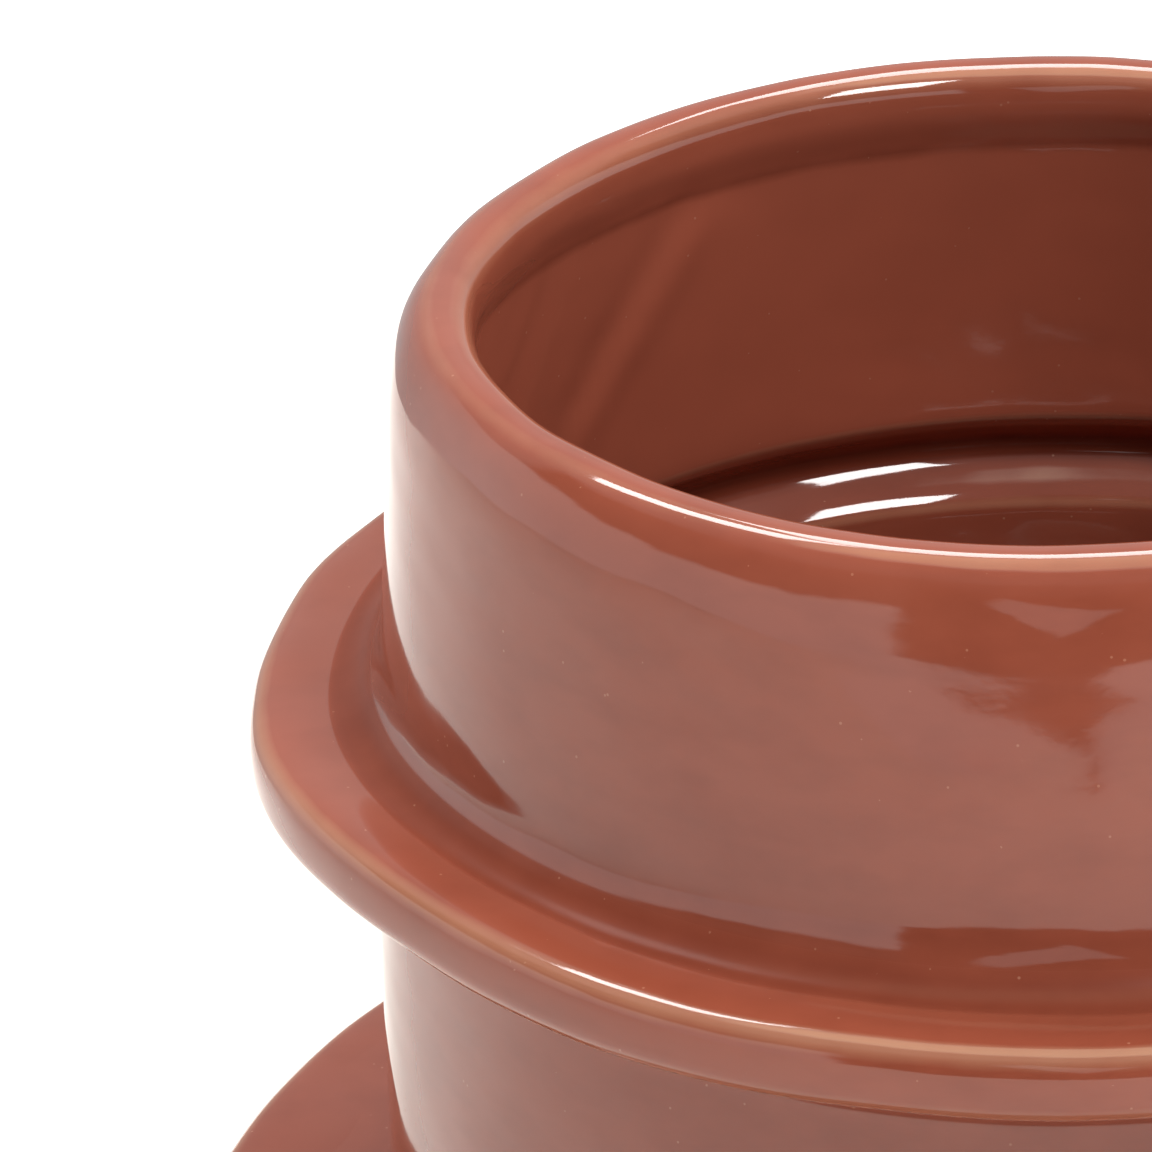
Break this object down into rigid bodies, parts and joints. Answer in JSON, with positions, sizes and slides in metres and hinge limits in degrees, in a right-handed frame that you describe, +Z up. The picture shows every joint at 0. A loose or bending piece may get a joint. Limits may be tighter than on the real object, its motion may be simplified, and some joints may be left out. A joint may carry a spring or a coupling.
{
  "type": "terracotta pot",
  "caption": "Round glazed terracotta plant pot with a rolled lip and stepped disc flanges round a gently swelling body, on a bare foot ring with felt pads.",
  "frame": {"origin": "middle of the plane the pot stands on, under the pads, on the axis of the pot", "axes": "+Z up along the axis the pot is turned about; X and Y are equivalent, with one pad on +Y"},
  "size_m": [0.2176, 0.2176, 0.176],
  "materials": {
    "glaze": "glossy brown-red glaze that breaks paler over rounded edges and pools darker in hollows",
    "bare_clay": "bare fired terracotta, fine grog, sponged edges",
    "felt": "dark grey-brown pressed wool felt"
  },
  "bodies": {
    "root": {"rim_lip": "glaze", "upper_wall": "glaze", "upper_flange": "glaze", "middle_wall": "glaze", "lower_flange": "glaze", "lower_wall": "glaze", "base_floor": "glaze", "foot_ring": "bare_clay", "foot_pad_1": "felt", "foot_pad_2": "felt", "foot_pad_3": "felt"}
  },
  "joints": []
}
